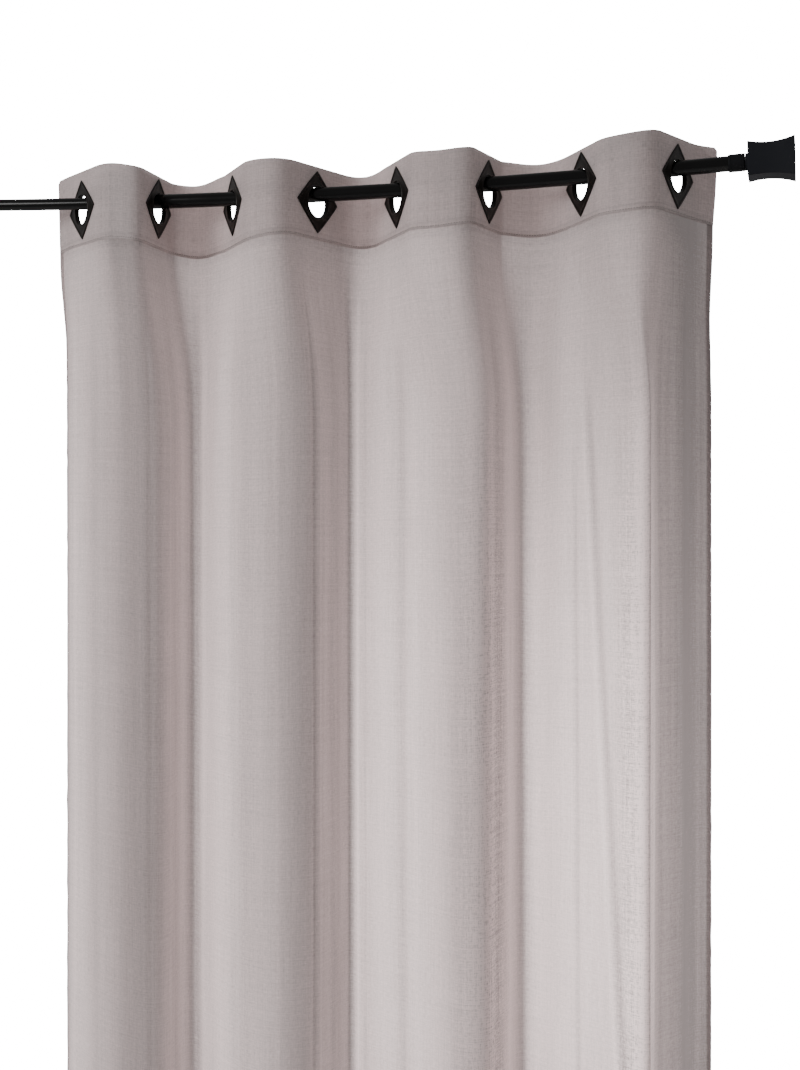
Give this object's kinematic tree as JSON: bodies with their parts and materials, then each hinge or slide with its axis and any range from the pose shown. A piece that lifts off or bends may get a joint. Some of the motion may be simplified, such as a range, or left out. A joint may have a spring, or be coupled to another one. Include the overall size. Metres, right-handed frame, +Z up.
{
  "type": "eyelet curtain on a curtain rod",
  "caption": "Semi-sheer eyelet curtain hanging in deep uneven folds from a thin telescopic rod, with square metal eyelets set on their corners and flared square finials.",
  "frame": {"origin": "on the rod's axis, above the middle of the curtain", "axes": "+X along the rod to the right as the room sees it, -Y towards the room, +Z up"},
  "size_m": [1.1848, 0.1412, 2.4222],
  "materials": {
    "rod_black": "gloss black enamel",
    "finial_black": "matte charcoal paint",
    "eyelet_black": "semi-gloss brown-black plating",
    "heading_cloth": "doubled and stiffened linen-look cloth",
    "panel_cloth": "semi-sheer linen-look weave with slubs"
  },
  "bodies": {
    "root": {"rod_outer_tube": "rod_black", "rod_inner_tube": "rod_black", "collar_right": "rod_black", "collar_left": "rod_black", "finial_right": "finial_black", "finial_left": "finial_black", "heading": "heading_cloth", "panel": "panel_cloth", "eyelet_front_1": "eyelet_black", "eyelet_back_1": "eyelet_black", "eyelet_front_2": "eyelet_black", "eyelet_back_2": "eyelet_black", "eyelet_front_3": "eyelet_black", "eyelet_back_3": "eyelet_black", "eyelet_front_4": "eyelet_black", "eyelet_back_4": "eyelet_black", "eyelet_front_5": "eyelet_black", "eyelet_back_5": "eyelet_black", "eyelet_front_6": "eyelet_black", "eyelet_back_6": "eyelet_black", "eyelet_front_7": "eyelet_black", "eyelet_back_7": "eyelet_black", "eyelet_front_8": "eyelet_black", "eyelet_back_8": "eyelet_black"}
  },
  "joints": []
}
